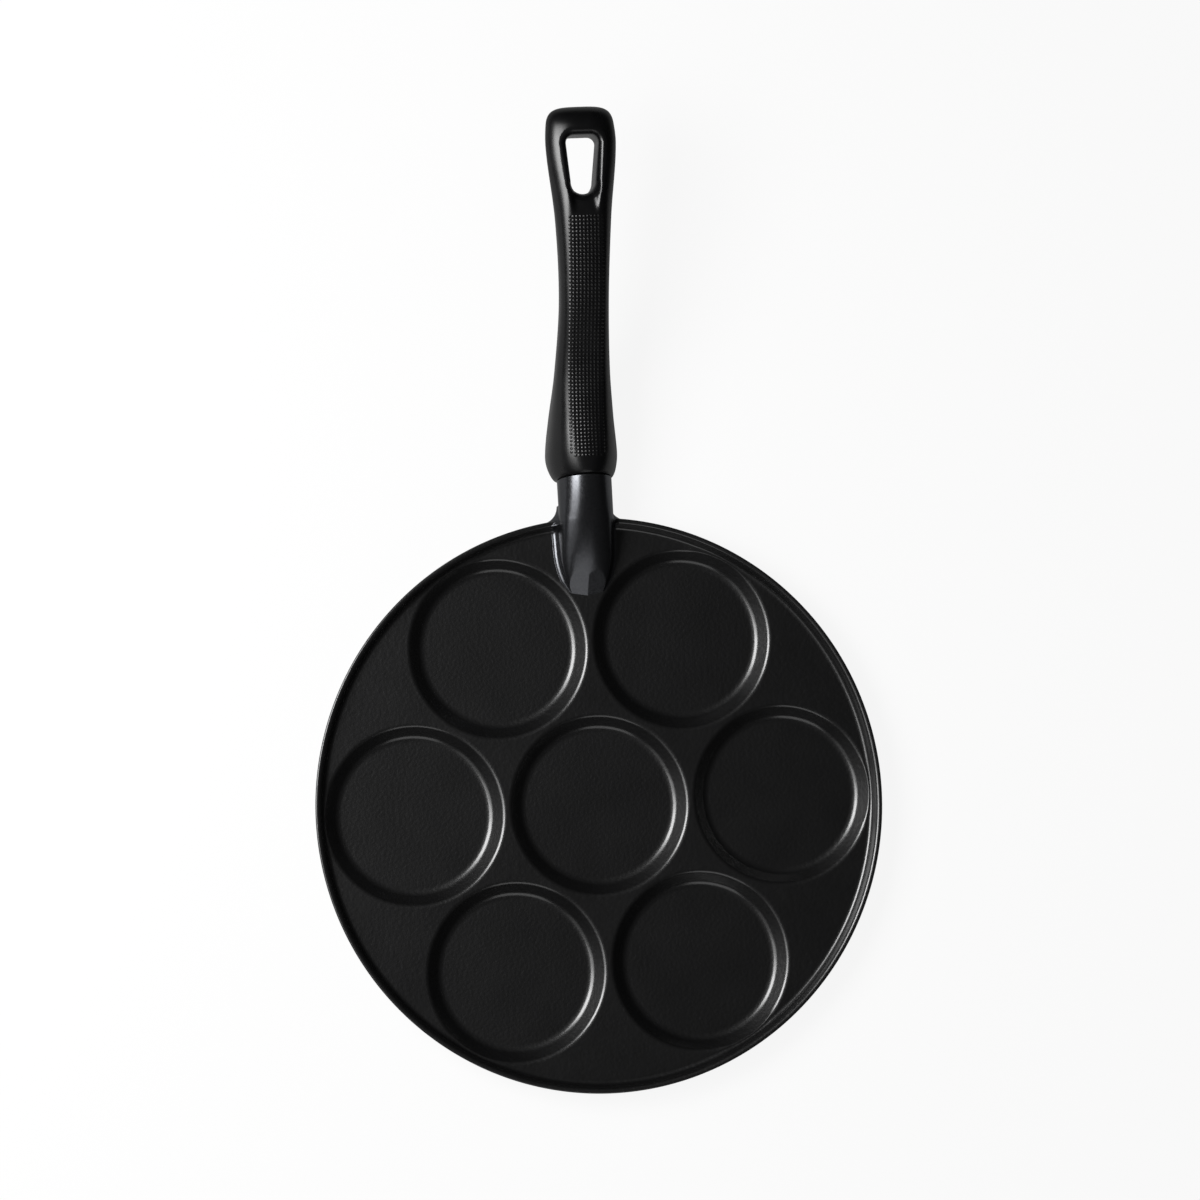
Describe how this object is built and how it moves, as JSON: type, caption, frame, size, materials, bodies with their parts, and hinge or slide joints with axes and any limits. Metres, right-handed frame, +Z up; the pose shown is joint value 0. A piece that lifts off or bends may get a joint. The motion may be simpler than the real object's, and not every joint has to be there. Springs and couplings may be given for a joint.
{
  "type": "plett pan",
  "caption": "Round cast aluminium pancake pan with shallow round wells inside a low rim, and a raised black handle with a hanging hole.",
  "frame": {"origin": "on the standing plane, under the centre of the middle well", "axes": "+Z up, +Y from the middle of the pan along the handle, +X to the right when the handle points away"},
  "size_m": [0.267, 0.4522, 0.0684],
  "materials": {
    "coated_aluminium": "satin",
    "black_phenolic": "satin",
    "plated_screw": "satin",
    "spring_steel": "satin",
    "plated_washer": "satin"
  },
  "bodies": {
    "root": {"pan_body": "coated_aluminium", "handle_grip": "black_phenolic", "handle_screw": "plated_screw", "lock_washer": "spring_steel", "flat_washer": "plated_washer"}
  },
  "joints": []
}
